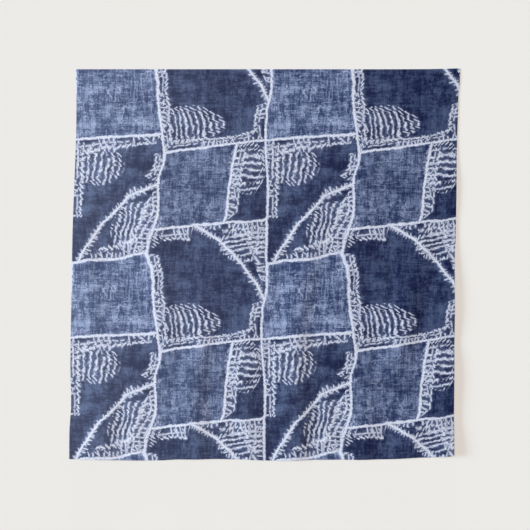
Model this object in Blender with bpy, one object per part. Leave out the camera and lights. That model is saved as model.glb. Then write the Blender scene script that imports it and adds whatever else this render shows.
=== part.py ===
"""Patchwork wall hanging: one nearly square cloth, hemmed all round, hung by its top edge.

Metres, +Z up. The origin is the middle of the top edge, in the plane of the wall that the cloth hangs on. That plane
is y = 0, the front of the cloth faces -Y, and a drop is a distance below the top edge.
"""

import math
from collections import namedtuple

import bmesh
import bpy
from mathutils import Vector

# Driving dimensions of the cloth
CLOTH_DROP = 0.917
CLOTH_THICKNESS = 0.0011
HEM_THICKNESS = 0.0019
HEM_WIDTH = 0.010
HEM_STEP = 0.002

# Cells between the hems: the folds run mostly downwards, so the rows may be longer than the columns are wide
COLUMNS = 54
ROWS = 34

# Colour and finish of the dyed cloth, as an average of its print
INDIGO = (0.085, 0.110, 0.235, 1.0)
CLOTH_ROUGHNESS = 0.85

EdgePoint = namedtuple("EdgePoint", "along offset")
Fold = namedtuple("Fold", "x_start drop_start x_end drop_end left_width right_width height")

# Side edges: along is the drop, offset is x. The whole cloth hangs a little to the left of its top corners.
LEFT_EDGE = (
    EdgePoint(0.000, -0.4514),
    EdgePoint(0.040, -0.4500),
    EdgePoint(0.110, -0.4492),
    EdgePoint(0.170, -0.4502),
    EdgePoint(0.320, -0.4557),
    EdgePoint(0.410, -0.4583),
    EdgePoint(0.560, -0.4610),
    EdgePoint(0.700, -0.4628),
    EdgePoint(0.795, -0.4614),
    EdgePoint(0.845, -0.4645),
    EdgePoint(0.917, -0.4650),
)
RIGHT_EDGE = (
    EdgePoint(0.000, 0.4510),
    EdgePoint(0.033, 0.4500),
    EdgePoint(0.060, 0.4474),
    EdgePoint(0.110, 0.4457),
    EdgePoint(0.200, 0.4430),
    EdgePoint(0.400, 0.4403),
    EdgePoint(0.435, 0.4378),
    EdgePoint(0.620, 0.4368),
    EdgePoint(0.790, 0.4352),
    EdgePoint(0.917, 0.4351),
)

# Top and bottom edges: along is the share of the width from the left corner, offset is the height above the top
# edge's middle, or above the place one drop below it
TOP_EDGE = (
    EdgePoint(0.00, 0.0000),
    EdgePoint(0.50, 0.0000),
    EdgePoint(0.90, 0.0002),
    EdgePoint(1.00, 0.0020),
)
BOTTOM_EDGE = (
    EdgePoint(0.00, 0.0034),
    EdgePoint(0.07, 0.0020),
    EdgePoint(0.14, -0.0003),
    EdgePoint(0.24, -0.0003),
    EdgePoint(0.29, 0.0024),
    EdgePoint(0.45, 0.0022),
    EdgePoint(0.53, -0.0008),
    EdgePoint(0.60, 0.0004),
    EdgePoint(0.68, 0.0014),
    EdgePoint(0.80, 0.0020),
    EdgePoint(0.88, 0.0047),
    EdgePoint(0.96, 0.0083),
    EdgePoint(1.00, 0.0112),
)

# Soft ridges, from their upper to their lower end, with the width of the flank at either side. The right flanks are
# the steeper ones. Those that run out through the bottom hem end below it.
FOLDS = (
    Fold(0.112, 0.220, 0.020, 1.300, 0.066, 0.040, 0.0086),
    Fold(-0.140, 0.420, -0.200, 1.400, 0.062, 0.040, 0.0080),
    Fold(0.405, 0.330, 0.262, 0.800, 0.056, 0.038, 0.0085),
    Fold(-0.412, 0.180, -0.428, 0.760, 0.045, 0.040, 0.0040),
    Fold(-0.085, -0.100, -0.060, 0.560, 0.075, 0.055, 0.0035),
    Fold(0.215, -0.100, 0.225, 0.520, 0.080, 0.055, 0.0035),
    Fold(-0.285, 0.100, -0.245, 0.780, 0.085, 0.060, 0.0040),
    Fold(-0.035, 0.460, -0.060, 1.300, 0.046, 0.044, 0.0048),
    Fold(0.200, 0.560, 0.235, 1.300, 0.070, 0.050, 0.0055),
    Fold(0.520, 0.660, 0.230, 1.010, 0.055, 0.060, 0.0050),
    Fold(-0.375, 0.560, -0.400, 1.300, 0.060, 0.045, 0.0045),
)
FOLD_TAPER = 0.40

# Slow sideways wander of all folds: how far, over which drop, and over which width it comes back
DRIFT = 0.011
DRIFT_DROP = 0.530
DRIFT_WIDTH = 0.820

# How far the cloth leaves the wall apart from its folds
BILLOW = 0.0030
BILLOW_STARTS = 0.020
BILLOW_FULL = 0.300
CORNER_LIFT = 0.0050
CORNER_REACH = 0.160

# How much further than the rest the free right edge stands off the wall: along is the drop, offset is the lift
RIGHT_LIFT = (
    EdgePoint(0.000, -0.0010),
    EdgePoint(0.120, -0.0025),
    EdgePoint(0.200, -0.0010),
    EdgePoint(0.270, 0.0020),
    EdgePoint(0.385, -0.0005),
    EdgePoint(0.472, 0.0045),
    EdgePoint(0.572, 0.0078),
    EdgePoint(0.650, 0.0042),
    EdgePoint(0.707, 0.0076),
    EdgePoint(0.778, 0.0035),
    EdgePoint(0.825, 0.0055),
    EdgePoint(0.885, 0.0112),
    EdgePoint(0.917, 0.0125),
)
RIGHT_LIFT_REACH = 0.090


def smooth_step(value):
    """Ease from 0 to 1 as value goes from 0 to 1."""
    held = min(max(value, 0.0), 1.0)
    return held * held * (3.0 - 2.0 * held)


def edge_offset(points, along):
    """Offset of an edge, as a smooth curve through its points."""
    last = len(points) - 1
    at = next((i for i in range(last) if along <= points[i + 1].along), last - 1)
    start, end = points[at], points[at + 1]
    before, after = points[max(at - 1, 0)], points[min(at + 2, last)]
    span = end.along - start.along
    slope_in = (end.offset - before.offset) / (end.along - before.along)
    slope_out = (after.offset - start.offset) / (after.along - start.along)
    share = (along - start.along) / span
    eased = smooth_step(share)
    carried = span * share * (1.0 - share)
    lead = slope_in * (1.0 - share) - slope_out * share
    return start.offset * (1.0 - eased) + end.offset * eased + carried * lead


def fold_height(fold, x, drop):
    """Stand-off that one fold adds at a place on the cloth."""
    run = Vector((fold.x_end - fold.x_start, fold.drop_end - fold.drop_start))
    place = Vector((x - fold.x_start, drop - fold.drop_start))
    along = place.dot(run) / run.length_squared
    across = (place.x * run.y - place.y * run.x) / run.length
    across /= fold.left_width if across < 0.0 else fold.right_width
    if abs(across) >= 1.0:
        return 0.0
    taper = smooth_step(along / FOLD_TAPER) * smooth_step((1.0 - along) / FOLD_TAPER)
    return fold.height * taper * (1.0 - across * across) ** 2


def stand_off(x, drop):
    """Distance of the cloth's hemmed back from the wall."""
    leaving = smooth_step((drop - BILLOW_STARTS) / (BILLOW_FULL - BILLOW_STARTS))
    right = edge_offset(RIGHT_EDGE, drop) - x
    left = x - edge_offset(LEFT_EDGE, drop)
    lift = edge_offset(RIGHT_LIFT, drop) * smooth_step(1.0 - right / RIGHT_LIFT_REACH)
    corner = Vector((left, CLOTH_DROP - drop)).length
    lift += CORNER_LIFT * smooth_step(1.0 - corner / CORNER_REACH)
    drifted = x + DRIFT * math.sin(math.tau * (drop / DRIFT_DROP + x / DRIFT_WIDTH))
    folds = sum(fold_height(fold, drifted, drop) for fold in FOLDS)
    return leaving * (BILLOW + lift + folds)


def cloth_point(share, down):
    """Place on the cloth's front face, from the shares of its width and of its drop."""
    drop = down * CLOTH_DROP
    left, right = edge_offset(LEFT_EDGE, drop), edge_offset(RIGHT_EDGE, drop)
    x = left + (right - left) * share
    top = edge_offset(TOP_EDGE, share)
    bottom = edge_offset(BOTTOM_EDGE, share) - CLOTH_DROP
    return Vector((x, -HEM_THICKNESS - stand_off(x, drop), top + (bottom - top) * down))


def hemmed_share(index, cells, length):
    """Share of a length at a grid line, with two narrow cells for the hem at either end."""
    hem, step = HEM_WIDTH / length, HEM_STEP / length
    ends = (0.0, hem, hem + step)
    if index < 3:
        return ends[index]
    if index > cells + 1:
        return 1.0 - ends[cells + 4 - index]
    return ends[2] + (1.0 - 2.0 * ends[2]) * (index - 2) / cells


def dyed_material():
    """Printed cotton-like cloth, matt."""
    material = bpy.data.materials.new("dyed_cloth")
    material.use_nodes = True
    shader = material.node_tree.nodes["Principled BSDF"]
    shader.inputs["Base Color"].default_value = INDIGO
    shader.inputs["Roughness"].default_value = CLOTH_ROUGHNESS
    shader.inputs["Metallic"].default_value = 0.0
    material.diffuse_color = INDIGO
    return material


def make_cloth():
    """One sheet in its hanging shape. Its hem is turned to the back, so only the back steps up there."""
    width = RIGHT_EDGE[0].offset - LEFT_EDGE[0].offset
    columns, rows = COLUMNS + 4, ROWS + 4
    cloth = bmesh.new()
    bmesh.ops.create_grid(cloth, x_segments=columns, y_segments=rows, size=0.5)
    weights = cloth.verts.layers.deform.new()
    for vertex in cloth.verts:
        column = round((vertex.co.x + 0.5) * columns)
        row = round((0.5 - vertex.co.y) * rows)
        in_hem = column < 2 or column > columns - 2 or row < 2 or row > rows - 2
        vertex[weights][0] = 1.0 if in_hem else 0.0
        share = hemmed_share(column, COLUMNS, width)
        down = hemmed_share(row, ROWS, CLOTH_DROP)
        vertex.co = cloth_point(share, down)
    mesh = bpy.data.meshes.new("cloth")
    cloth.to_mesh(mesh)
    cloth.free()
    mesh.materials.append(dyed_material())
    mesh.shade_smooth()

    sheet = bpy.data.objects.new("cloth", mesh)
    bpy.context.scene.collection.objects.link(sheet)
    sheet.vertex_groups.new(name="hem")
    thickness = sheet.modifiers.new("thickness", "SOLIDIFY")
    thickness.thickness = HEM_THICKNESS
    thickness.offset = -1.0
    thickness.vertex_group = "hem"
    thickness.thickness_vertex_group = CLOTH_THICKNESS / HEM_THICKNESS
    return sheet


def main():
    for old in list(bpy.data.objects):
        bpy.data.objects.remove(old, do_unlink=True)
    make_cloth()


main()
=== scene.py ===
"""Patchwork wall hanging: one hemmed cloth with a patchwork print, hung flat by its top edge.

Metres, +Z up. The origin is the middle of the top edge, the wall's plane is y = 0 and the front of the cloth
faces -Y. A drop is a distance below the top edge.
"""

import math
import random
from collections import namedtuple

import bmesh
import bpy
from mathutils import Matrix, Vector, noise


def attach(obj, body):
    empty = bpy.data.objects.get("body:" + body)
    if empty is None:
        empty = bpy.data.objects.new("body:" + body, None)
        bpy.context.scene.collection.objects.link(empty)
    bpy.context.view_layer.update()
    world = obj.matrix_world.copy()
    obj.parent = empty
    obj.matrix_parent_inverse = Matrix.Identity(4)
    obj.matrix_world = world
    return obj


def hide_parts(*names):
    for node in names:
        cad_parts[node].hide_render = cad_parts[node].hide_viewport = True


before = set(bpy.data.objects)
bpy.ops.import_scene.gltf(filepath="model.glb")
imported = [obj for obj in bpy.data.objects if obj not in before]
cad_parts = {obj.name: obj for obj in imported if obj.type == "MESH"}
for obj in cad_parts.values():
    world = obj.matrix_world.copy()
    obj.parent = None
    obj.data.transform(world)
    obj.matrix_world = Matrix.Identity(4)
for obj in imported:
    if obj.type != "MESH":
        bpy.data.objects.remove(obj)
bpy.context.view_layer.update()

bl_info = {
    "name": "Patchwork wall hanging",
    "version": (1, 0, 0),
    "blender": (4, 5, 0),
    "location": "3D View > Sidebar > Wall hanging",
    "description": "Makes a printed patchwork cloth on a wall, with its sewn hem and a plain studio",
    "category": "Add Mesh",
}

CLOTH_NODE = "cloth"
ROOT = "root"

EdgePoint = namedtuple("EdgePoint", "along offset")
Fold = namedtuple("Fold", "x_start drop_start x_end drop_end left_width right_width height")


def edge(*points):
    """An edge as points, each with its place along it and its offset."""
    return [EdgePoint(*point) for point in points]


# Side edges: along is the drop, offset is x
LEFT_EDGE = edge(
    (0.0, -0.4514), (0.04, -0.45), (0.11, -0.4492), (0.17, -0.4502), (0.32, -0.4557),
    (0.41, -0.4583), (0.56, -0.461), (0.7, -0.4628), (0.795, -0.4614), (0.845, -0.4645),
    (0.917, -0.465),
)
RIGHT_EDGE = edge(
    (0.0, 0.451), (0.033, 0.45), (0.06, 0.4474), (0.11, 0.4457), (0.2, 0.443),
    (0.4, 0.4403), (0.435, 0.4378), (0.62, 0.4368), (0.79, 0.4352), (0.917, 0.4351),
)

# Top and bottom edges: along is the share of the width from the left corner, offset is a height
TOP_EDGE = edge((0.0, 0.0), (0.5, 0.0), (0.9, 0.0002), (1.0, 0.002))
BOTTOM_EDGE = edge(
    (0.0, 0.0034), (0.07, 0.002), (0.14, -0.0003), (0.24, -0.0003), (0.29, 0.0024),
    (0.45, 0.0022), (0.53, -0.0008), (0.6, 0.0004), (0.68, 0.0014), (0.8, 0.002),
    (0.88, 0.0047), (0.96, 0.0083), (1.0, 0.0112),
)

# How much further than the rest the free right edge stands off: along is the drop, offset is the lift
RIGHT_LIFT = edge(
    (0.0, -0.001), (0.12, -0.0025), (0.2, -0.001), (0.27, 0.002), (0.385, -0.0005),
    (0.472, 0.0045), (0.572, 0.0078), (0.65, 0.0042), (0.707, 0.0076), (0.778, 0.0035),
    (0.825, 0.0055), (0.885, 0.0112), (0.917, 0.0125),
)

# The solid's own soft ridges, with the width of the flank at either side
FOLDS = (
    Fold(0.112, 0.22, 0.02, 1.3, 0.066, 0.04, 0.0086),
    Fold(-0.14, 0.42, -0.2, 1.4, 0.062, 0.04, 0.008),
    Fold(0.405, 0.33, 0.262, 0.8, 0.056, 0.038, 0.0085),
    Fold(-0.412, 0.18, -0.428, 0.76, 0.045, 0.04, 0.004),
    Fold(-0.085, -0.1, -0.06, 0.56, 0.075, 0.055, 0.0035),
    Fold(0.215, -0.1, 0.225, 0.52, 0.08, 0.055, 0.0035),
    Fold(-0.285, 0.1, -0.245, 0.78, 0.085, 0.06, 0.004),
    Fold(-0.035, 0.46, -0.06, 1.3, 0.046, 0.044, 0.0048),
    Fold(0.2, 0.56, 0.235, 1.3, 0.07, 0.05, 0.0055),
    Fold(0.52, 0.66, 0.23, 1.01, 0.055, 0.06, 0.005),
    Fold(-0.375, 0.56, -0.4, 1.3, 0.06, 0.045, 0.0045),
)

# Finer creases that the solid leaves out: pulls from the top corners and in the middle, slack at the bottom
CREASES = (
    Fold(0.462, -0.03, 0.29, 0.3, 0.03, 0.022, 0.0012),
    Fold(0.43, -0.04, 0.12, 0.21, 0.026, 0.03, 0.0007),
    Fold(-0.465, -0.03, -0.31, 0.25, 0.024, 0.03, 0.001),
    Fold(0.04, 0.16, -0.13, 0.56, 0.034, 0.028, 0.001),
    Fold(0.31, 0.28, 0.13, 0.6, 0.034, 0.028, 0.0009),
    Fold(-0.11, 0.56, -0.08, 1.12, 0.024, 0.02, 0.0014),
    Fold(0.125, 0.64, 0.155, 1.16, 0.028, 0.022, 0.0015),
    Fold(0.335, 0.7, 0.3, 1.12, 0.026, 0.022, 0.0012),
    Fold(-0.29, 0.66, -0.312, 1.14, 0.028, 0.022, 0.0013),
)

FOLD_TAPER = 0.4
DRIFT = 0.011
DRIFT_DROP = 0.53
DRIFT_WIDTH = 0.82
BILLOW = 0.003
BILLOW_STARTS = 0.02
BILLOW_FULL = 0.3
RIGHT_LIFT_REACH = 0.09
CORNER_LIFT = 0.005
CORNER_REACH = 0.16

# Small unevenness of the slack cloth: the height, width and length of its swells
Swell = namedtuple("Swell", "height width length")
SWELLS = (Swell(0.0011, 0.07, 0.17), Swell(0.0004, 0.03, 0.055))

# The hem's puckers: waves of different paces, which fade out a few hem widths from the edge
Wave = namedtuple("Wave", "height pace start")
WAVES = (Wave(1.0, 1.0, 0.0), Wave(0.6, 0.37, 1.0), Wave(0.5, 1.71, 2.0))
PUCKER_REACH = 3.0


def dye(red, green, blue):
    """A colour as it shows, from 0 to 255, as the linear colour that a shader takes."""
    shown = [channel / 255.0 for channel in (red, green, blue)]
    return [c / 12.92 if c <= 0.04045 else ((c + 0.055) / 1.055) ** 2.4 for c in shown]


def metres(name, description, default):
    """A length that the user can change."""
    return bpy.props.FloatProperty(name=name, description=description, default=default, unit="LENGTH")


def light_strength(name, description, default):
    """The strength of a light, which the user can change."""
    return bpy.props.FloatProperty(name=name, description=description, default=default, min=0.0)


def dye_colour(name, description, colour):
    """A colour that the user can change."""
    return bpy.props.FloatVectorProperty(
        name=name, description=description, subtype="COLOR", size=3, default=colour, min=0.0, max=1.0
    )


def made_mesh(name, work):
    """Mesh of a finished piece of work."""
    mesh = bpy.data.meshes.new(name)
    work.to_mesh(mesh)
    work.free()
    return mesh


class ClothSizes(bpy.types.PropertyGroup):
    """Sizes of the woven cloth."""

    drop: metres("Drop", "Length of the cloth below its top edge", 0.917)
    thickness: metres("Thickness", "Thickness of the single cloth", 0.0005)
    hem_thickness: metres("Hem thickness", "Thickness of the turned hem", 0.0011)
    hem_width: metres("Hem width", "Width of the turned hem", 0.01)
    columns: bpy.props.IntProperty(name="Columns", description="Cells across the cloth", default=192)
    rows: bpy.props.IntProperty(name="Rows", description="Cells down the cloth", default=196)
    pucker: metres("Pucker", "Height of the small waves along the sewn hem", 0.00045)
    pucker_pitch: metres("Pucker pitch", "Usual length of a small wave along the hem", 0.023)


class PrintSizes(bpy.types.PropertyGroup):
    """Sizes of the printed pattern."""

    repeat_width: metres("Repeat width", "Width of the print's repeat", 0.461)
    repeat_height: metres("Repeat height", "Height of the print's repeat", 0.466)
    seam_width: metres("Seam width", "Width of a pale seam line", 0.006)
    bow: metres("Bow", "How far the seams wander from straight", 0.044)
    wobble: metres("Wobble", "Small unsteadiness of the drawn marks", 0.0056)
    band: metres("Band", "Reach of the stitching beside a seam", 0.023)
    stretch: metres("Stretch", "Length stitched in one way before it changes", 0.04)
    dash_pitch: metres("Dash pitch", "Length that a stitch of the outer row takes", 0.0118)
    dash_width: metres("Dash width", "Width of a stitch of the outer row", 0.005)
    fine_width: metres("Fine width", "Width of the small stitches inside that row", 0.0037)
    darn_pitch: metres("Darning pitch", "Distance between the rows of a darned place", 0.014)
    darn_width: metres("Darning width", "Width of a row of darning", 0.005)


class PrintColours(bpy.types.PropertyGroup):
    """Colours of the dye, as they are at the right side, where the painted light from the left and the fading
    are least.
    """

    deep: dye_colour("Deep indigo", "Darkest threads of the dark patches", dye(0, 12, 57))
    dark: dye_colour("Dark indigo", "Lightest threads of the dark patches", dye(75, 89, 124))
    mid: dye_colour("Mid indigo", "Darkest threads of the light patches", dye(33, 50, 92))
    light: dye_colour("Light indigo", "Lighter threads of the light patches", dye(136, 151, 187))
    thread: dye_colour("Worn thread", "Threads rubbed pale in the light patches", dye(182, 192, 222))
    resist: dye_colour("Resist white", "The marks that the dye leaves out", dye(216, 221, 235))
    seeped: dye_colour("Seeped dye", "Marks that some dye has seeped into", dye(184, 198, 236))
    # Painted sheen and light from the left, partly fading of the dye: the colour that it adds at the cloth's
    # middle
    sheen_and_fade_haze: dye_colour("Haze", "What the light has added at the middle of the cloth", (0.0178, 0.0203, 0.025))
    reverse: dye_colour("Reverse", "Undyed colour that shows through on the back", dye(196, 203, 222))


class StitchSizes(bpy.types.PropertyGroup):
    """The hem's machine stitching."""

    inset: metres("Inset", "Distance of the stitching from the edge", 0.0082)
    pitch: metres("Pitch", "Length of cloth that one stitch takes", 0.0032)
    length: metres("Length", "Length of thread that shows in one stitch", 0.0027)
    thickness: metres("Thickness", "Thickness of the thread", 0.00034)
    colour: dye_colour("Thread colour", "Colour of the thread", dye(52, 60, 98))


class StageSettings(bpy.types.PropertyGroup):
    """The plain studio that the cloth is shown in."""

    view_x: metres("View x", "Sideways place of the camera", -0.0068)
    view_drop: metres("View drop", "Depth of the camera below the top edge", 0.4594)
    view_width: metres("View width", "Width of the wall that the camera sees", 1.244)
    distance: metres("Distance", "Distance of the camera from the wall", 3.0)
    floor_drop: metres("Floor drop", "Depth of the floor below the top edge", 1.45)
    wall: dye_colour("Wall colour", "Colour of the wall and floor", dye(236, 235, 232))
    key: light_strength("Light from the left", "Low soft light", 1.84)
    front: light_strength("Light from the front", "Wide light behind the camera", 2.0)
    above: light_strength("Light from above", "Light on the floor", 2.3)
    behind: light_strength("Light from behind", "Light on the back of the cloth", 2.8)
    around: light_strength("Light all round", "Even light of the room", 0.12)


def smooth_step(value):
    """Ease from 0 to 1 as value goes from 0 to 1."""
    held = min(max(value, 0.0), 1.0)
    return held * held * (3.0 - 2.0 * held)


def edge_offset(points, along):
    """Offset of an edge, as a smooth curve through its points."""
    last = len(points) - 1
    at = next((i for i in range(last) if along <= points[i + 1].along), last - 1)
    start, end = points[at], points[at + 1]
    before, after = points[max(at - 1, 0)], points[min(at + 2, last)]
    span = end.along - start.along
    slope_in = (end.offset - before.offset) / (end.along - before.along)
    slope_out = (after.offset - start.offset) / (after.along - start.along)
    share = (along - start.along) / span
    eased = smooth_step(share)
    carried = span * share * (1.0 - share)
    lead = slope_in * (1.0 - share) - slope_out * share
    return start.offset * (1.0 - eased) + end.offset * eased + carried * lead


def fold_height(fold, x, drop):
    """Stand-off that one fold or crease adds at a place on the cloth."""
    run_x, run_drop = fold.x_end - fold.x_start, fold.drop_end - fold.drop_start
    from_x, from_drop = x - fold.x_start, drop - fold.drop_start
    squared = run_x * run_x + run_drop * run_drop
    across = (from_x * run_drop - from_drop * run_x) / math.sqrt(squared)
    across /= fold.left_width if across < 0.0 else fold.right_width
    if abs(across) >= 1.0:
        return 0.0
    along = (from_x * run_x + from_drop * run_drop) / squared
    taper = smooth_step(along / FOLD_TAPER) * smooth_step((1.0 - along) / FOLD_TAPER)
    return fold.height * taper * (1.0 - across * across) ** 2


class HangingShape:
    """Where each place of the cloth hangs."""

    def __init__(self, sizes):
        self.sizes = sizes
        self.width = RIGHT_EDGE[0].offset - LEFT_EDGE[0].offset

    def pucker(self, from_edge, along):
        """Small wave of the sewn hem at a distance from the edge, along it."""
        fade = smooth_step(1.0 - from_edge / (PUCKER_REACH * self.sizes.hem_width))
        if not fade:
            return 0.0
        turns = math.tau * along / self.sizes.pucker_pitch
        waves = sum(wave.height * math.sin(wave.pace * turns + wave.start) for wave in WAVES)
        return self.sizes.pucker * fade * (0.5 + 0.25 * waves)

    def stand_off(self, x, drop, left, right):
        """Distance of the cloth from where its top hem lies, towards the front."""
        leaving = smooth_step((drop - BILLOW_STARTS) / (BILLOW_FULL - BILLOW_STARTS))
        lift = edge_offset(RIGHT_LIFT, drop) * smooth_step(1.0 - (right - x) / RIGHT_LIFT_REACH)
        corner = math.hypot(x - left, self.sizes.drop - drop)
        lift += CORNER_LIFT * smooth_step(1.0 - corner / CORNER_REACH)
        drifted = x + DRIFT * math.sin(math.tau * (drop / DRIFT_DROP + x / DRIFT_WIDTH))
        folds = sum(fold_height(fold, drifted, drop) for fold in FOLDS)
        fine = sum(fold_height(crease, drifted, drop) for crease in CREASES)
        for swell in SWELLS:
            fine += swell.height * leaving * noise.noise((x / swell.width, drop / swell.length, swell.height))
        fine += self.pucker(min(x - left, right - x), drop)
        fine += self.pucker(self.sizes.drop - drop, x)
        fine += self.pucker(drop, x)
        return leaving * (BILLOW + lift + folds) + smooth_step(drop / BILLOW_STARTS) * fine

    def place(self, share, down):
        """Place on the front of the cloth, from the shares of its width and of its drop."""
        drop = down * self.sizes.drop
        left, right = edge_offset(LEFT_EDGE, drop), edge_offset(RIGHT_EDGE, drop)
        x = left + (right - left) * share
        top = edge_offset(TOP_EDGE, share)
        bottom = edge_offset(BOTTOM_EDGE, share) - self.sizes.drop
        depth = self.sizes.hem_thickness + self.stand_off(x, drop, left, right)
        return Vector((x, -depth, top + (bottom - top) * down))


# Lines of the weave's grid over the hem, as shares of its width
HEM_STOPS = (0.0, 0.12, 0.55, 0.94, 1.06)


def grid_stops(length, cells, sizes):
    """Shares of a length at the lines of the weave's grid, closer over the hem at either end."""
    start = [stop * sizes.hem_width / length for stop in HEM_STOPS]
    inner = cells - 2 * (len(start) - 1)
    middle = [start[-1] + (1.0 - 2.0 * start[-1]) * i / inner for i in range(1, inner)]
    return start + middle + [1.0 - stop for stop in reversed(start)]


# The last grid line, counted from the edge, that lies in the hem
HEM_LINES = 3

# The map that the finish is kept on: the front takes most of it, then come the rim's four strips and the back
FRONT_SHARE = 0.7
BACK_STARTS = 0.722
RIM_STARTS = 0.702
RIM_STEP = 0.0045
RIM_WIDTH = 0.003


def face_place(share, down, side):
    """Place of the front or the back on the map that the finish is kept on."""
    if side == "front":
        return share * FRONT_SHARE, 1.0 - down
    return BACK_STARTS + share * (1.0 - BACK_STARTS), 1.0 - down


def rim_place(share, down, edge, outer):
    """Place of the rim on that map: a narrow strip for each edge, left, right, top and bottom."""
    along = down if edge < 2 else share
    return RIM_STARTS + RIM_STEP * edge + RIM_WIDTH * outer, 1.0 - along


def weave_cloth(sizes):
    """The cloth as one closed sheet: a fine grid in its hanging shape, with its thickness and its hem."""
    shape = HangingShape(sizes)
    columns, rows = sizes.columns, sizes.rows
    across_stops = grid_stops(shape.width, columns, sizes)
    down_stops = grid_stops(sizes.drop, rows, sizes)
    cloth = bmesh.new()
    column_of = cloth.verts.layers.int.new("column")
    row_of = cloth.verts.layers.int.new("row")
    reverse = cloth.faces.layers.float.new("reverse")
    print_map = cloth.loops.layers.uv.new("cloth")
    bake_map = cloth.loops.layers.uv.new("OFBake")
    bmesh.ops.create_grid(cloth, x_segments=columns, y_segments=rows, size=0.5)
    for vertex in cloth.verts:
        vertex[column_of] = round((vertex.co.x + 0.5) * columns)
        vertex[row_of] = round((0.5 - vertex.co.y) * rows)
        vertex.co = shape.place(across_stops[vertex[column_of]], down_stops[vertex[row_of]])
    cloth.normal_update()
    front = set(cloth.faces)
    shell = bmesh.ops.solidify(cloth, geom=cloth.faces[:], thickness=sizes.thickness)
    back = {face for face in shell["geom"] if isinstance(face, bmesh.types.BMFace)}
    behind = {vertex for face in back for vertex in face.verts}
    for vertex in behind:
        column, row = vertex[column_of], vertex[row_of]
        if min(column, columns - column, row, rows - row) <= HEM_LINES:
            vertex.co.y += sizes.hem_thickness - sizes.thickness
    for face in cloth.faces:
        face.smooth = True
        side = "front" if face in front else "back" if face in back else "rim"
        column = sum(vertex[column_of] for vertex in face.verts) / len(face.verts)
        row = sum(vertex[row_of] for vertex in face.verts) / len(face.verts)
        at_edge = (column == 0, column == columns, row == 0, row == rows)
        left, right = column < HEM_LINES, column > columns - HEM_LINES
        above, below = row < HEM_LINES, row > rows - HEM_LINES
        in_hem = left or right or above or below
        face[reverse] = 1.0 if side == "back" and not in_hem else 0.0
        for loop in face.loops:
            share, down = across_stops[loop.vert[column_of]], down_stops[loop.vert[row_of]]
            across, drop = share * shape.width, down * sizes.drop
            if side == "back" and in_hem:
                across = -across if left else 2.0 * shape.width - across if right else across
                drop = -drop if above else 2.0 * sizes.drop - drop if below else drop
            loop[print_map].uv = (across, drop)
            if side == "rim":
                loop[bake_map].uv = rim_place(share, down, at_edge.index(True), loop.vert in behind)
            else:
                loop[bake_map].uv = face_place(share, down, side)
    return made_mesh("cloth_printed", cloth)


class Value:
    """One number of a finish, which can be used in sums."""

    def __init__(self, finish, socket):
        self.finish = finish
        self.socket = socket

    def __add__(self, other):
        return self.finish.number("ADD", self, other)

    __radd__ = __add__

    def __sub__(self, other):
        return self.finish.number("SUBTRACT", self, other)

    def __rsub__(self, other):
        return self.finish.number("SUBTRACT", other, self)

    def __mul__(self, other):
        return self.finish.number("MULTIPLY", self, other)

    __rmul__ = __mul__

    def __truediv__(self, other):
        return self.finish.number("DIVIDE", self, other)

    def __rtruediv__(self, other):
        return self.finish.number("DIVIDE", other, self)

    def __abs__(self):
        return self.finish.number("ABSOLUTE", self)

    def __lt__(self, other):
        return self.finish.number("LESS_THAN", self, other)

    def __gt__(self, other):
        return self.finish.number("GREATER_THAN", self, other)


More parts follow.
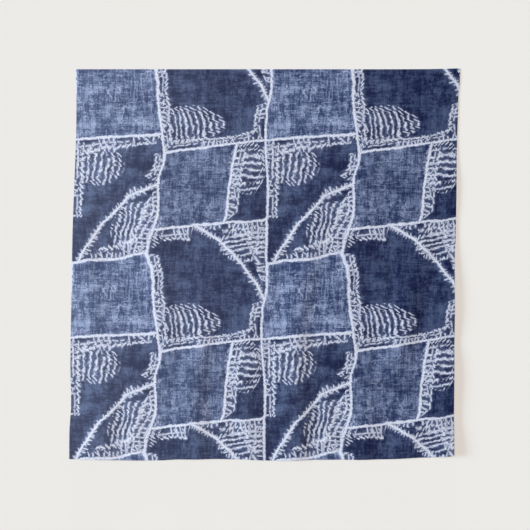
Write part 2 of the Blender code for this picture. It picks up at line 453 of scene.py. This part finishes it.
class Finish:
    """The nodes of a material or a world under construction."""

    def __init__(self, owner):
        owner.use_nodes = True
        self.owner = owner
        self.tree = owner.node_tree
        self.tree.nodes.clear()

    def add(self, kind, sockets=None, **settings):
        """A shader node of one kind, with the values or links of its sockets, and its settings."""
        node = self.tree.nodes.new("ShaderNode" + kind)
        for name, value in settings.items():
            setattr(node, name, value)
        for key, value in (sockets or {}).items():
            value = value.socket if isinstance(value, Value) else value
            if isinstance(value, bpy.types.NodeSocket):
                self.tree.links.new(value, node.inputs[key])
            else:
                node.inputs[key].default_value = value
        return node

    def number(self, operation, *terms):
        """A sum on numbers."""
        node = self.add("Math", dict(enumerate(terms)), operation=operation)
        return Value(self, node.outputs[0])

    def vector(self, operation, *terms):
        """A sum on vectors, which gives a vector."""
        return self.add("VectorMath", dict(enumerate(terms)), operation=operation).outputs[0]

    def length(self, vector):
        node = self.add("VectorMath", {0: vector}, operation="LENGTH")
        return Value(self, node.outputs["Value"])

    def parts(self, vector):
        """The three numbers of a vector."""
        node = self.add("SeparateXYZ", {0: vector})
        return [Value(self, socket) for socket in node.outputs]

    def joined(self, x, y, z=0.0):
        """A vector of three numbers."""
        return self.add("CombineXYZ", {0: x, 1: y, 2: z}).outputs[0]

    def turned(self, place, middle, angle, mark=0.0):
        """Place as seen from middle, along and across a direction; the third number is the mark."""
        sockets = {"Vector": place, "Location": (middle[0], middle[1], -mark), "Rotation": (0.0, 0.0, angle)}
        return self.add("Mapping", sockets, vector_type="TEXTURE").outputs[0]

    def rolled(self, flat, size):
        """A flat place with the repeat rolled up both ways, so that unevenness on it has no break."""
        across, down, _ = self.parts(flat)
        turn_across, turn_down = across * (math.tau / size[0]), down * (math.tau / size[1])
        round_across, round_down = size[0] / math.tau, size[1] / math.tau
        first = self.number("COSINE", turn_across) * round_across
        second = self.number("SINE", turn_across) * round_across
        third = self.number("COSINE", turn_down) * round_down
        return self.joined(first, second, third), self.number("SINE", turn_down) * round_down

    def noise(self, place, scale, detail=1.0, roughness=0.5):
        """Soft random unevenness at a place, or at a rolled-up one: its number and its colour."""
        sockets = {"Scale": scale, "Detail": detail, "Roughness": roughness}
        if isinstance(place, tuple):
            sockets["Vector"], sockets["W"] = place
        else:
            sockets["Vector"] = place
        dimensions = "4D" if isinstance(place, tuple) else "3D"
        node = self.add("TexNoise", sockets, noise_dimensions=dimensions)
        return Value(self, node.outputs[0]), node.outputs[1]

    def chance(self, place):
        """Three random numbers from 0 to 1 for a place, whose third number differs from use to use."""
        node = self.add("TexWhiteNoise", {0: place}, noise_dimensions="3D")
        return self.parts(node.outputs["Color"])

    def ease(self, value, low, high):
        """0 at low, 1 at high, smooth between."""
        sockets = {"Value": value, "From Min": low, "From Max": high}
        node = self.add("MapRange", sockets, interpolation_type="SMOOTHSTEP")
        return Value(self, node.outputs[0])

    def least(self, *values):
        found = values[0]
        for value in values[1:]:
            found = self.number("MINIMUM", found, value)
        return found

    def most(self, *values):
        found = values[0]
        for value in values[1:]:
            found = self.number("MAXIMUM", found, value)
        return found

    def pick(self, factor, first, second):
        """The first vector where factor is 0, the second where it is 1."""
        node = self.add("Mix", {0: factor, 4: first, 5: second}, data_type="VECTOR")
        return node.outputs[1]

    def nearer(self, found, away, place):
        """The nearer of two marks, each with its distance and the place along and across it."""
        if found is None:
            return away, place
        return self.least(found[0], away), self.pick(away < found[0], found[1], place)

    def mixed(self, factor, first, second):
        """The first shader where factor is 0, the second where it is 1."""
        sockets = {0: factor, 1: first.outputs[0], 2: second.outputs[0]}
        return self.add("MixShader", sockets)

    def shown(self, shader, output="OutputMaterial"):
        """The material or world, with this shader as its surface."""
        self.add(output, {"Surface": shader.outputs[0]})
        return self.owner

    def blend(self, factor, first, second):
        """The first colour where factor is 0, the second where it is 1."""
        first, second = (c if isinstance(c, bpy.types.NodeSocket) else (*c, 1.0) for c in (first, second))
        node = self.add("Mix", {0: factor, 6: first, 7: second}, data_type="RGBA")
        return node.outputs[2]


# Where the first repeat starts, in metres to the right of the cloth's top left corner and below it
REPEAT_STARTS = (-0.012, -0.052)

# The print's repeat, charted. A place is a share of the repeat's width and of its height, and may
# lie in the next repeat, past 1. Going round a patch to the right, the stitching lies outside it.
Patch = namedtuple("Patch", "top_left top_right bottom_right bottom_left lightness")
LARGE = Patch((0.09, 0.13), (0.465, 0.095), (0.505, 0.49), (0.06, 0.53), 1.0)
SMALL = Patch((0.52, 0.58), (0.9, 0.545), (0.86, 0.93), (0.5, 0.965), 0.6)
PATCHES = (LARGE, SMALL)
TURN = (0.075, 0.905)


def beside(place):
    """The same place in the repeat to the right."""
    return (place[0] + 1.0, place[1])


def below(place):
    """The same place in the repeat below."""
    return (place[0], place[1] + 1.0)


# Seams between dark patches, with the stitching on the left of the way they run
Seam = namedtuple("Seam", "start end")
SEAMS = (
    Seam(LARGE.bottom_right, SMALL.top_left),
    Seam(below(LARGE.top_right), SMALL.bottom_left),
    Seam(SMALL.top_right, beside(LARGE.bottom_left)),
    Seam(beside(TURN), SMALL.bottom_right),
    Seam(LARGE.bottom_left, TURN),
    Seam(below(LARGE.top_left), TURN),
)

# Mended cuts across the dark patches: curves pulled towards their bend, drawn together with slanting stitches
Mend = namedtuple("Mend", "start bend end")
MENDS = (
    Mend((0.515, 0.735), (0.27, 0.8), (0.125, 1.125)),
    Mend((0.7, -0.055), (0.92, 0.0), (1.075, 0.33)),
)
MEND_PIECES = 3

# Darned places: the middle, the way across their strokes, and how far they reach across and along them
Darning = namedtuple("Darning", "x y degrees across along")
DARNINGS = (
    Darning(0.415, 0.965, 8.0, 0.05, 0.05),
    Darning(0.968, 0.03, 78.0, 0.04, 0.046),
    Darning(0.96, 0.665, 88.0, 0.052, 0.036),
    Darning(0.175, 0.64, 6.0, 0.062, 0.038),
    Darning(0.65, 0.445, -8.0, 0.07, 0.034),
)


class Repeat:
    """The charted repeat at its real size."""

    def __init__(self, sizes):
        self.size = (sizes.repeat_width, sizes.repeat_height)

    def point(self, place):
        """A charted place in metres."""
        return Vector((place[0] * self.size[0], place[1] * self.size[1]))

    def lines(self):
        """All drawn lines of the repeat: the row that each belongs to, its start and its end."""
        for patch in PATCHES:
            corners = [self.point(corner) for corner in patch[:4]]
            for start, end in zip(corners, corners[1:] + corners[:1]):
                yield patch, start, end
        for seam in SEAMS:
            yield seam, self.point(seam.start), self.point(seam.end)
        for mend in MENDS:
            start, bend, end = (self.point(place) for place in mend)
            shares = [piece / MEND_PIECES for piece in range(MEND_PIECES + 1)]
            curve = [start * (1 - t) ** 2 + bend * 2 * t * (1 - t) + end * t**2 for t in shares]
            for first, last in zip(curve, curve[1:]):
                yield mend, first, last


# Every drawn line has its number as its mark, and a mend's lines have this much more
MEND_MARK = 100

# A stitched band's width as a share of its size: the usual one, how far and how often in a metre it changes
BAND_USUAL = 1.12
BAND_SPREAD = 2.6
BAND_CHANGES = 8.0
BAND_NARROWEST = 0.8

# Rows of stitches, each with a slope that changes over a spread from one stitch to the next: dashes lie along
# a line, and ticks stand off a seam, from an inner to an outer line
Dash = namedtuple("Dash", "pitch width slope spread")
Tick = namedtuple("Tick", "pitch inner outer width slope spread")
INNER_ROW = Dash(0.0175, 0.0033, 0.05, 0.4)
KNOTS = Dash(0.0095, 0.0046, 0.7, 1.6)
DRAWN_IN = Tick(0.0115, 0.001, 0.015, 0.0036, 0.7, 1.2)
DRAWN_BACK = Tick(0.0078, 0.001, 0.0095, 0.0026, -0.3, 1.8)

# How much a mark's outline is moved by blots and grain, and a seam's by tears, and what bleeds how far
RAGGED_BLOT = 0.0036
RAGGED_GRAIN = 0.003
RAGGED_SEAM = 0.0064
BLED = 0.16
BLED_REACH = 0.0062

# How much of the resist's white seams and stitches have, and what the grain and the blots add to it
SEAM_COVER = 0.77
SEAM_GRAIN = 0.2
STITCH_COVER = 0.5
STITCH_GRAIN = 0.24
STITCH_BLOT = 0.3

# A darned row bends slowly and shakes quickly, and its stroke swells and thins out
DARN_BEND = 0.026
DARN_SHAKE = 0.0095
DARN_SWELL = 0.009
DARN_GRAIN = 0.003

# What each kind of unevenness adds to a ground's tone, from its darkest dye at 0 to its lightest at 1. A low
# tone falls only by the soft share.
Ground = namedtuple("Ground", "threads clouds slubs_down slubs_across flecks level soft")
DARK_GROUND = Ground(1.08, 2.4, 0.9, 1.1, 0.7, 0.305, 0.35)
LIGHT_GROUND = Ground(1.55, 1.65, 1.6, 1.5, 0.9, 0.33, 0.45)
SOFT_LEVEL = 0.09

# Painted light from the left, partly a sheen and brighter light, partly fading of the dye: what it adds at
# the cloth's middle to the dark ground's contrast and to all colours. The painted haze grows towards the left
# by this power.
PAINTED_LIGHT_CONTRAST = 0.11
PAINTED_LIGHT_GAIN = 0.09
SHEEN_AND_FADE_POWER = 1.5

# How much shows of the worn threads, the thick threads and the reverse's colour
SCRATCHED = 0.6
PICKED = 0.42
THICK_THREADS = 0.38
REVERSE_SHOWS = 0.5


class PrintedCloth(Finish):
    """The printed dye: its patches, the pale seams and the stitching, all in one charted repeat."""

    def __init__(self, sizes, colours):
        super().__init__(bpy.data.materials.new("dyed_cloth_print"))
        self.sizes = sizes
        self.colours = colours
        self.repeat = Repeat(sizes)
        place = self.add("UVMap", uv_map="cloth").outputs[0]
        self.flat = self.vector("SUBTRACT", place, (*REPEAT_STARTS, 0.0))
        self.even = self.rolled(self.flat, self.repeat.size)
        bow, wobble = sizes.bow, sizes.wobble
        drawn = self.vector("MULTIPLY_ADD", self.noise(self.even, 6.5)[1], (bow, bow, 0.0), self.flat)
        shaken = self.noise(self.even, 62.0)[1]
        self.drawn = self.vector("MULTIPLY_ADD", shaken, (wobble, wobble, 0.0), drawn)
        self.grain = self.noise(self.even, 400.0)[0]
        self.blot = self.noise(self.even, 170.0)[0]
        self.ragged = (self.blot - 0.5) * RAGGED_BLOT + (self.grain - 0.5) * RAGGED_GRAIN
        # How far left a place lies: 2 at the left edge, 1 in the middle, 0 at the right. The painted light
        # from the left grows with it.
        share, _, _ = self.parts(self.flat)
        self.left = self.most(1.0 - share / (2.0 * self.repeat.size[0]), 0.0) * 2.0

    def swing(self, scale):
        """Soft unevenness of the print about 0, which changes so many times in a metre."""
        return self.noise(self.even, scale)[0] - 0.5

    def streaks(self, across, down, detail=2.0, roughness=0.7):
        """Unevenness that changes a different number of times in a metre across and down."""
        place, fourth = self.even
        drawn_out = self.vector("MULTIPLY", place, (across, across, down))
        return self.noise((drawn_out, fourth * down), 1.0, detail, roughness)[0]

    def around(self, middle):
        """The drawn place, brought to the copy of the repeat that lies round middle."""
        half = Vector((*self.repeat.size, 2.0)) / 2
        centre = Vector((middle.x, middle.y, 0.0))
        return self.vector("WRAP", self.drawn, centre + half, centre - half)

    def follow_lines(self):
        """Distance to the nearest line, the place along and across it, and the depth inside each patch."""
        found, inside = None, {}
        for number, (row, start, end) in enumerate(self.repeat.lines(), start=1):
            middle, run = (start + end) / 2, end - start
            mark = number + MEND_MARK * isinstance(row, Mend)
            place = self.turned(self.around(middle), middle, math.atan2(run.y, run.x), mark)
            if isinstance(row, Patch):
                across = self.parts(place)[1]
                inside[row] = self.least(inside[row], across) if row in inside else across
            reach = self.vector("SUBTRACT", self.vector("ABSOLUTE", place), (run.length / 2, 0.0, 1000.0))
            away = self.length(self.vector("MAXIMUM", reach, (0.0, 0.0, 0.0)))
            found = self.nearer(found, away, place)
        return found[0], self.parts(found[1]), inside

    def dye_patches(self, inside):
        """How light the patch at this place is dyed, from 0 to 1."""
        lightness = 0.0
        for patch, depth in inside.items():
            lightness = self.ease(depth, -0.0006, 0.0006) * patch.lightness + lightness
        return lightness

    def inked(self, distance):
        """The resist's cover, from the distance to a mark's uneven outline, with what bled past it."""
        bled = self.ease(distance, BLED_REACH, -0.001) * BLED
        return self.most(self.ease(distance + self.ragged, 0.0016, -0.0014), bled)

    def dashes(self, along, off, seed, row):
        """Distance to one row of uneven slanting stitches, one to a pitch, at an offset from its middle."""
        cell = self.number("FLOOR", along / row.pitch)
        size, lean, shift = self.chance(self.joined(cell, seed, 5.0))
        x = (along / row.pitch - cell - 0.5) * row.pitch - (shift - 0.5) * (0.2 * row.pitch)
        y = off - x * ((lean - 0.5) * row.spread + row.slope)
        past = self.most(abs(x) - (size * 0.22 + 0.22) * row.pitch, 0.0)
        return self.number("SQRT", past * past + y * y) - 0.5 * row.width

    def ticks(self, along, out, seed, row):
        """Distance to short stitches off a seam, one to a pitch, from an inner to an outer line."""
        cell = self.number("FLOOR", along / row.pitch)
        size, lean, shift = self.chance(self.joined(cell, seed, 9.0))
        x = (along / row.pitch - cell - 0.5) * row.pitch - (shift - 0.5) * (0.3 * row.pitch)
        x = x + (out - row.inner) * ((lean - 0.5) * row.spread + row.slope)
        past = self.most(out - (size * (row.outer - row.inner) + row.inner), row.inner - out, 0.0)
        return self.number("SQRT", past * past + x * x) - 0.5 * row.width

    def stitch_lines(self, nearest, local):
        """The pale seams, the stitching outside each, and the slanting stitches on both sides of a mend."""
        along, across, mark = local
        sizes = self.sizes
        mended = mark > MEND_MARK
        outside = (across < 0.0) * (1.0 - mended)
        stretch = self.number("FLOOR", along / sizes.stretch)
        style, turn, _ = self.chance(self.joined(stretch, mark, 2.0))
        slope = self.number("SIGN", turn - 0.5)
        out = nearest / self.most(self.swing(BAND_CHANGES) * BAND_SPREAD + BAND_USUAL, BAND_NARROWEST)
        band, pitch, width = sizes.band, sizes.dash_pitch, sizes.dash_width
        outer_row = Dash(pitch, width, slope * 0.45, 0.9)
        barbs = Tick(1.3 * pitch, 0.8 * band, band + 0.005, 0.75 * width, slope * 0.9, 0.8)
        rungs = Tick(0.0112, 0.004, 0.85 * band, sizes.fine_width, 0.0, 0.9)
        strays = Tick(0.0235, 0.007, band, sizes.fine_width, 0.6, 1.6)
        outer = self.dashes(along, out - band, mark, outer_row)
        border = self.least(outer, self.ticks(along, out, mark, barbs))
        ladder = self.least(
            self.ticks(along, out, mark + 0.3, rungs), self.ticks(along + 0.004, out, mark + 0.7, strays)
        )
        inner_row = self.dashes(along, out - 0.56 * band, mark + 0.2, INNER_ROW)
        away = 0.1
        inner = self.least(ladder + (style < 0.4) * away, inner_row + (style > 0.72) * away)
        stitched = self.inked(self.least(border, inner)) * outside
        side, off = self.number("SIGN", across), abs(across)
        drawn_in = self.least(
            self.ticks(along, off, side + mark, DRAWN_IN),
            self.ticks(along + 0.003, off, side + mark + 0.4, DRAWN_BACK),
        )
        drawn_in = self.inked(drawn_in) * mended * (nearest < 0.016)
        torn = self.swing(240.0) * RAGGED_SEAM + self.ragged * 0.8
        seams = self.ease(nearest - 0.5 * sizes.seam_width + torn, 0.0017, -0.0014)
        return seams, self.most(stitched, drawn_in)

    def darn(self):
        """The darned places: long uneven strokes that fray out at the rim, and small knots round it."""
        found = None
        for number, darning in enumerate(DARNINGS):
            middle = self.repeat.point((darning.x, darning.y))
            place = self.turned(self.around(middle), middle, math.radians(darning.degrees), number)
            share = self.length(self.vector("DIVIDE", place, (darning.across, darning.along, 1e6)))
            found = self.nearer(found, share, place)
        closest = found[0]
        across, along, mark = self.parts(found[1])
        pitch, width = self.sizes.darn_pitch, self.sizes.darn_width
        bent = across + self.swing(19.0) * DARN_BEND + self.swing(105.0) * DARN_SHAKE
        row = self.number("FLOOR", bent / pitch)
        reach, thick, _ = self.chance(self.joined(row, mark, 7.0))
        off = abs(bent / pitch - row - 0.5) * pitch - (thick * 0.22 + 0.37) * width
        frayed = closest - (reach * 0.3 + 0.75) + self.swing(110.0) * 1.2
        swollen = self.swing(130.0) * DARN_SWELL + (self.grain - 0.5) * DARN_GRAIN
        strokes = self.inked(off + swollen) * self.ease(frayed, 0.08, -0.08)
        knots = self.dashes(along, bent - (row + 0.5) * pitch, row + mark, KNOTS)
        rim = self.ease(abs(closest - 1.02), 0.26, 0.16)
        return self.most(strokes, self.inked(knots) * rim)

    def weave_look(self, lightness):
        """The ground colour: streaks of both thread ways and cloudy wear, on the dye of the patch."""
        colours = self.colours
        across, down = self.streaks(40.0, 330.0), self.streaks(330.0, 40.0)
        clouds = self.streaks(27.0, 21.0, 3.0, 0.65)
        slubs_down = self.streaks(75.0, 14.0, roughness=0.6) - 0.5
        slubs_across = self.streaks(14.0, 75.0, roughness=0.6) - 0.5
        worn = self.noise(self.even, 44.0, 2.0)[0]
        flecks = self.blot - 0.5 + (self.grain - 0.5) * 1.5
        # In the order of the weights of a ground
        uneven = (across + down - 1.0, clouds - 0.5, slubs_down, slubs_across, flecks)
        tone = sum(kind * weight for kind, weight in zip(uneven, DARK_GROUND))
        # Painted light from the left: the dark ground's contrast grows towards the left
        tone = tone * (self.left * PAINTED_LIGHT_CONTRAST + 1.0) + DARK_GROUND.level
        dark = self.blend(self.most(tone, tone * DARK_GROUND.soft + SOFT_LEVEL), colours.deep, colours.dark)
        tone = sum(kind * weight for kind, weight in zip(uneven, LIGHT_GROUND)) + LIGHT_GROUND.level
        light = self.blend(self.most(tone, tone * LIGHT_GROUND.soft + SOFT_LEVEL), colours.mid, colours.light)
        scratched = self.ease(abs(worn - 0.5), 0.022, 0.004) * self.ease(clouds, 0.44, 0.6)
        picked = self.ease(self.most(across, down), 0.58, 0.76)
        light = self.blend(self.most(scratched * SCRATCHED, picked * PICKED), light, colours.thread)
        thick = self.most(self.streaks(9.0, 430.0, 1.0, 0.5), self.streaks(430.0, 9.0, 1.0, 0.5))
        ground = self.blend(lightness, dark, light)
        ground = self.blend(self.ease(thick, 0.66, 0.76) * THICK_THREADS, ground, colours.deep)
        return ground, across + down

    def fade(self, colour):
        """The colour with painted light from the left, partly a sheen and brighter light, partly fading of
        the dye: it grows lighter and hazier towards the left.
        """
        painted_light_gain = self.joined(*(self.left * PAINTED_LIGHT_GAIN + 1.0 for _ in range(3)))
        sheen_and_fade_share = self.number("POWER", self.left, SHEEN_AND_FADE_POWER)
        sheen_and_fade_haze = self.vector("MULTIPLY", self.joined(sheen_and_fade_share, sheen_and_fade_share, sheen_and_fade_share), tuple(self.colours.sheen_and_fade_haze))
        return self.vector("MULTIPLY_ADD", colour, painted_light_gain, sheen_and_fade_haze)

    def finished(self):
        nearest, local, inside = self.follow_lines()
        lightness = self.dye_patches(inside)
        seams, stitches = self.stitch_lines(nearest, local)
        darkness = 1.0 - self.ease(lightness, 0.5, 0.7)
        sewn = self.most(stitches, self.darn()) * darkness
        ground, threads = self.weave_look(lightness)
        speck, cloud = self.ease(self.grain, 0.35, 0.62), self.ease(self.blot, 0.34, 0.64)
        seam_cover = speck * SEAM_GRAIN + SEAM_COVER
        stitch_cover = speck * STITCH_GRAIN + cloud * STITCH_BLOT + STITCH_COVER
        cover = self.most(seams * seam_cover, sewn * stitch_cover)
        mark = self.blend(cover, self.colours.seeped, self.colours.resist)
        # The printed face with the painted light from the left on it, partly sheen and brighter light, partly
        # fading
        face = self.fade(self.blend(cover, ground, mark))
        reverse = Value(self, self.add("Attribute", attribute_name="reverse").outputs["Fac"])
        colour = self.blend(reverse * REVERSE_SHOWS, face, self.colours.reverse)
        relief = threads * 0.5 + self.grain * 0.3
        bump = self.add("Bump", {"Strength": 0.35, "Distance": 0.0004, "Height": relief})
        sockets = {
            "Base Color": colour,
            "Roughness": threads * 0.1 + 0.72,
            "Normal": bump.outputs[0],
            "Specular IOR Level": 0.12,
            "Sheen Weight": 0.03,
            "Sheen Roughness": 0.45,
        }
        shader = self.add("BsdfPrincipled", sockets)
        return self.shown(shader)


def dye_thread(colour):
    """Sewing thread: a little uneven in tone, and a little shinier than the cloth."""
    finish = Finish(bpy.data.materials.new("hem_thread"))
    place = finish.add("TexCoord").outputs["Object"]
    fibre, _ = finish.noise(place, 1800.0, 1.0)
    tint = finish.blend(fibre, [0.7 * c for c in colour], [1.3 * c for c in colour])
    shader = finish.add("BsdfPrincipled", {"Base Color": tint, "Roughness": 0.55})
    return finish.shown(shader)


# The hem's stitches lie a little askew, always in the same way
SEWING_SEED = 11
STITCH_TWIST = 0.06


def sew_hem(cloth_sizes, stitch):
    """The hem's lockstitches, front and back, as one joined mesh of small lens-shaped threads."""
    shape = HangingShape(cloth_sizes)
    template = bmesh.new()
    bmesh.ops.create_icosphere(template, subdivisions=1, radius=0.5)
    one = made_mesh("one_stitch", template)
    chance = random.Random(SEWING_SEED)
    width, drop = shape.width, cloth_sizes.drop
    joined = bmesh.new()
    lines = (
        (width, lambda at: (at / width, stitch.inset / drop)),
        (width, lambda at: (at / width, 1.0 - stitch.inset / drop)),
        (drop, lambda at: (stitch.inset / width, at / drop)),
        (drop, lambda at: (1.0 - stitch.inset / width, at / drop)),
    )
    for length, line in lines:
        count = int((length - 2.0 * stitch.inset) / stitch.pitch)
        for number in range(count):
            at = stitch.inset + (number + 0.5) * stitch.pitch
            middle = shape.place(*line(at))
            ahead = (shape.place(*line(at + stitch.pitch)) - middle).normalized()
            out = Vector((0.0, -1.0, 0.0))
            out = (out - ahead * out.dot(ahead)).normalized()
            turn = Matrix((ahead, out.cross(ahead), out)).transposed()
            turn = turn @ Matrix.Rotation(chance.uniform(-STITCH_TWIST, STITCH_TWIST), 3, "Z")
            for depth in (0.0, cloth_sizes.hem_thickness):
                scale = Matrix.Diagonal((stitch.length, stitch.thickness, stitch.thickness, 1.0))
                placed = one.copy()
                placed.transform(Matrix.Translation(middle - out * depth) @ turn.to_4x4() @ scale)
                joined.from_mesh(placed)
                bpy.data.meshes.remove(placed)
    for face in joined.faces:
        face.smooth = True
    bpy.data.meshes.remove(one)
    return made_mesh("hem_stitches", joined)


def add_object(name, data):
    made = bpy.data.objects.new(name, data)
    bpy.context.scene.collection.objects.link(made)
    return made


def add_piece(name, mesh, material):
    mesh.materials.append(material)
    return add_object(name, mesh)


def printed_cloth():
    """The cloth that the first step made."""
    cloth = bpy.data.objects.get("cloth_printed")
    if cloth is None:
        raise RuntimeError("make the cloth first")
    return cloth


class WALLHANGING_OT_cloth(bpy.types.Operator):
    """Weave and print the hanging cloth"""

    bl_idname = "wallhanging.cloth"
    bl_label = "Printed cloth"

    def execute(self, context):
        if CLOTH_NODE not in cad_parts:
            raise RuntimeError("the packed model has no cloth to replace")
        scene = context.scene
        mesh = weave_cloth(scene.wall_cloth)
        dye = PrintedCloth(scene.wall_print, scene.wall_colours).finished()
        cloth = add_piece("cloth_printed", mesh, dye)
        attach(cloth, ROOT)
        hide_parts(CLOTH_NODE)
        return {"FINISHED"}


# How much wider the cloth lies flat than it hangs, for what its waves draw in
LAID_FLAT = 1.012


class WALLHANGING_OT_stitching(bpy.types.Operator):
    bl_idname = "wallhanging.stitching"
    bl_label = "Hem stitching"

    def execute(self, context):
        scene = context.scene
        mesh = sew_hem(scene.wall_cloth, scene.wall_stitches)
        stitches = add_piece("hem_stitches", mesh, dye_thread(scene.wall_stitches.colour))
        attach(stitches, ROOT)
        flat = (LAID_FLAT * HangingShape(scene.wall_cloth).width, scene.wall_cloth.drop)
        return {"FINISHED"}


def studio_panel(name, corner, across, up, material):
    """A flat panel of the studio that starts at a corner. It leaves the light on the cloth as it is."""
    panel = bmesh.new()
    bmesh.ops.create_grid(panel, x_segments=1, y_segments=1, size=0.5)
    for vertex in panel.verts:
        vertex.co = Vector(corner) + Vector(across) * (vertex.co.x + 0.5) + Vector(up) * (vertex.co.y + 0.5)
    shown = add_piece(name, made_mesh(name, panel), material)
    for ray in ("shadow", "diffuse", "glossy", "transmission"):
        setattr(shown, f"visible_{ray}", False)


def paint_studio(name, colour, one_sided):
    """Matt paint. One-sided paint is clear from behind, so that the cloth's back can be looked at."""
    finish = Finish(bpy.data.materials.new(name))
    shader = finish.add("BsdfDiffuse", {"Color": (*colour, 1.0)})
    if one_sided:
        behind = finish.add("NewGeometry").outputs["Backfacing"]
        shader = finish.mixed(behind, shader, finish.add("BsdfTransparent"))
    return finish.shown(shader)


def light_room(colour, strength):
    """Even light from all round, which shows as the studio's pale paint."""
    room = Finish(bpy.data.worlds.new("room_light"))
    light = room.add("Background", {"Color": (1.0, 1.0, 1.0, 1.0), "Strength": strength})
    paint = room.add("Background", {"Color": (*colour, 1.0)})
    seen = room.add("LightPath").outputs["Is Camera Ray"]
    return room.shown(room.mixed(seen, light, paint), "OutputWorld")


# The studio's distant lights: the setting that gives the strength, the way the light shines, how wide the
# light looks, and its colour
Sun = namedtuple("Sun", "name setting direction degrees colour")
SUNS = (
    Sun("light_left", "key", (0.92, 0.39, -0.05), 22.0, (0.73, 1.0, 1.17)),
    Sun("light_front", "front", (0.0, 1.0, 0.0), 40.0, (1.1, 1.0, 0.935)),
    Sun("light_above", "above", (0.0, 0.0, -1.0), 8.0, (1.0, 1.0, 1.0)),
    Sun("light_behind", "behind", (0.55, -0.82, -0.12), 30.0, (1.0, 1.0, 1.0)),
)


def hang_sun(sun, strength):
    """A distant soft light that shines along its direction."""
    light = bpy.data.lights.new(sun.name, "SUN")
    light.energy = strength
    light.color = sun.colour
    light.angle = math.radians(sun.degrees)
    lamp = add_object(sun.name, light)
    lamp.rotation_mode = "QUATERNION"
    lamp.rotation_quaternion = Vector(sun.direction).to_track_quat("-Z", "Y")


class WALLHANGING_OT_stage(bpy.types.Operator):
    """Set up the pale wall and floor, the soft lights and the camera"""

    bl_idname = "wallhanging.stage"
    bl_label = "Studio"

    def execute(self, context):
        scene = context.scene
        stage = scene.wall_stage
        # A real wall keeps the light off the back. Here the back is lit, but it mustn't brighten the wall.
        printed_cloth().visible_diffuse = False
        half, depth, height = 2.5, 5.0, 3.2
        wall_y, floor_z = 0.0003, -stage.floor_drop
        paint = paint_studio("wall_paint", stage.wall, True)
        studio_panel("wall", (-half, wall_y, floor_z), (2.0 * half, 0, 0), (0, 0, height), paint)
        paint = paint_studio("floor_paint", stage.wall, False)
        studio_panel("floor", (-depth, -depth, floor_z), (2.0 * depth, 0, 0), (0, 2.0 * depth, 0), paint)
        for sun in SUNS:
            hang_sun(sun, getattr(stage, sun.setting))
        scene.world = light_room(stage.wall, stage.around)
        lens = bpy.data.cameras.new("camera")
        lens.lens = lens.sensor_width * stage.distance / stage.view_width
        camera = add_object("camera", lens)
        camera.location = (stage.view_x, -stage.distance, -stage.view_drop)
        camera.rotation_euler = (math.radians(90.0), 0.0, 0.0)
        scene.camera = camera
        scene.view_settings.view_transform = "Standard"
        return {"FINISHED"}


class WALLHANGING_PT_sidebar(bpy.types.Panel):
    """The steps that make the wall hanging, with their sizes and colours"""

    bl_idname = "WALLHANGING_PT_sidebar"
    bl_label = "Wall hanging"
    bl_space_type = "VIEW_3D"
    bl_region_type = "UI"
    bl_category = "Wall hanging"

    def draw(self, context):
        for step, groups in STEPS:
            self.layout.operator(step.bl_idname)
            for name in groups:
                group = getattr(context.scene, name)
                for key in group.bl_rna.properties.keys():
                    if key not in ("name", "rna_type"):
                        self.layout.prop(group, key)


STEPS = (
    (WALLHANGING_OT_cloth, ("wall_cloth", "wall_print", "wall_colours")),
    (WALLHANGING_OT_stitching, ("wall_stitches",)),
    (WALLHANGING_OT_stage, ("wall_stage",)),
)
GROUPS = {
    "wall_cloth": ClothSizes,
    "wall_print": PrintSizes,
    "wall_colours": PrintColours,
    "wall_stitches": StitchSizes,
    "wall_stage": StageSettings,
}


def register():
    for group in GROUPS.values():
        bpy.utils.register_class(group)
    for name, group in GROUPS.items():
        setattr(bpy.types.Scene, name, bpy.props.PointerProperty(type=group))
    for step, _ in STEPS:
        bpy.utils.register_class(step)
    bpy.utils.register_class(WALLHANGING_PT_sidebar)


def unregister():
    bpy.utils.unregister_class(WALLHANGING_PT_sidebar)
    for step, _ in reversed(STEPS):
        bpy.utils.unregister_class(step)
    for name, group in GROUPS.items():
        delattr(bpy.types.Scene, name)
        bpy.utils.unregister_class(group)


def main():
    register()
    bpy.ops.wallhanging.cloth()
    bpy.ops.wallhanging.stitching()
    bpy.ops.wallhanging.stage()


if __name__ == "__main__":
    main()
